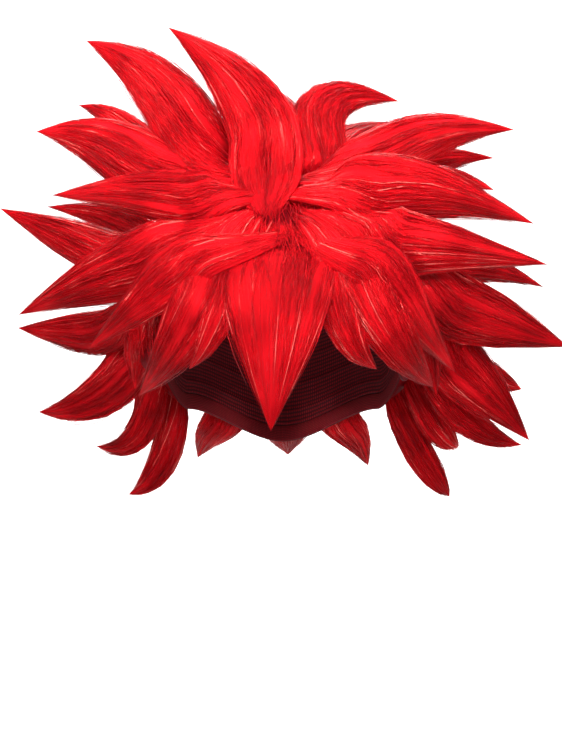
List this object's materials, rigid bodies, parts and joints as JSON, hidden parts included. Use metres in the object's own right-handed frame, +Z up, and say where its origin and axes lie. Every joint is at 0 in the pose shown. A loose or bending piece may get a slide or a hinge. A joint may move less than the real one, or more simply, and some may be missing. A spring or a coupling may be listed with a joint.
{
  "type": "spiky wig",
  "caption": "Spiky costume wig of thick pointed locks sewn in rows to a hollow stretch cap with an elastic edge.",
  "frame": {"origin": "inside of the cap's crown, where the top of a head bears", "axes": "+Z up, the wearer looks towards -Y, +X to the wearer's left"},
  "size_m": [0.35, 0.2935, 0.2905],
  "materials": {
    "fibre": "glossy synthetic fibre, bright red, darker between the locks",
    "cap_net": "matt stretch net, dark red",
    "elastic": "matt ribbed elastic, dark red"
  },
  "bodies": {
    "root": {"cap": "cap_net", "rim_band": "elastic", "crown_locks": "fibre", "fringe_locks": "fibre", "right_upper_locks": "fibre", "left_upper_locks": "fibre", "back_upper_locks": "fibre", "right_side_locks": "fibre", "left_side_locks": "fibre", "back_middle_locks": "fibre", "right_lower_locks": "fibre", "left_lower_locks": "fibre", "nape_locks": "fibre"}
  },
  "joints": []
}
